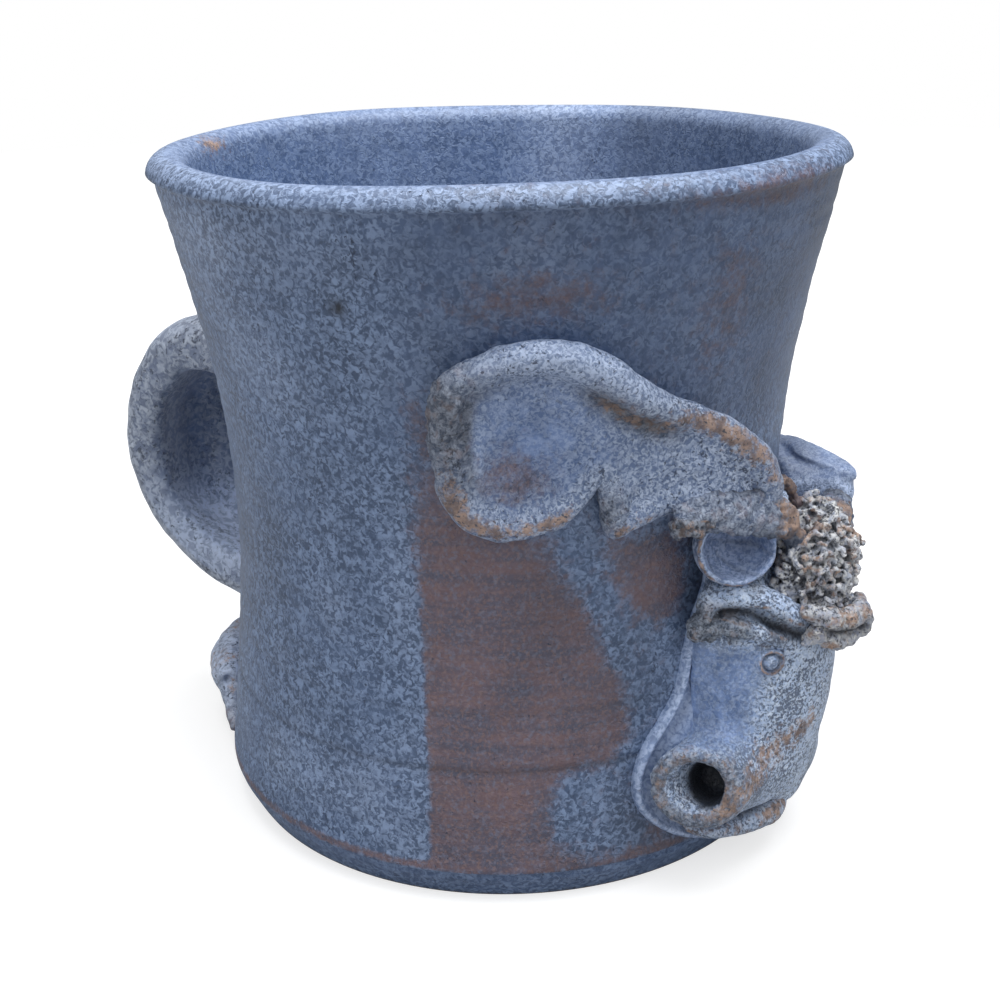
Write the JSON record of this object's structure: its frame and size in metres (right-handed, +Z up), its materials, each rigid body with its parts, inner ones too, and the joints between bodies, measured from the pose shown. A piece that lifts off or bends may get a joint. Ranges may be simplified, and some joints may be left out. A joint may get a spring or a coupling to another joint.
{
  "type": "mug",
  "caption": "Handmade stoneware mug with a flared lip and a strap handle, and a moose's head with antlers and a shaggy forelock modelled in relief on its side.",
  "frame": {"origin": "centre of the flat foot, on the cup's axis", "axes": "+Z up the cup's axis; the moose faces -Y with its right side at -X; the handle stands at +Y, turned 11 degrees towards -X"},
  "size_m": [0.1, 0.1296, 0.0991],
  "materials": {
    "slate_blue_glaze": "satin",
    "mottled_glaze": "satin",
    "pale_speckled_glaze": "satin",
    "cream_broken_glaze": "satin, breaking to bare clay"
  },
  "bodies": {
    "root": {"cup_body": "slate_blue_glaze", "handle_strap": "mottled_glaze", "handle_scroll": "mottled_glaze", "head_plaque": "slate_blue_glaze", "moose_head": "pale_speckled_glaze", "lower_jaw": "pale_speckled_glaze", "brow_right": "pale_speckled_glaze", "brow_left": "pale_speckled_glaze", "eye_right": "pale_speckled_glaze", "eye_left": "pale_speckled_glaze", "ear_right": "mottled_glaze", "ear_left": "mottled_glaze", "antler_right": "mottled_glaze", "antler_left": "mottled_glaze", "forelock_tangle": "cream_broken_glaze", "forelock_curl": "cream_broken_glaze"}
  },
  "joints": []
}
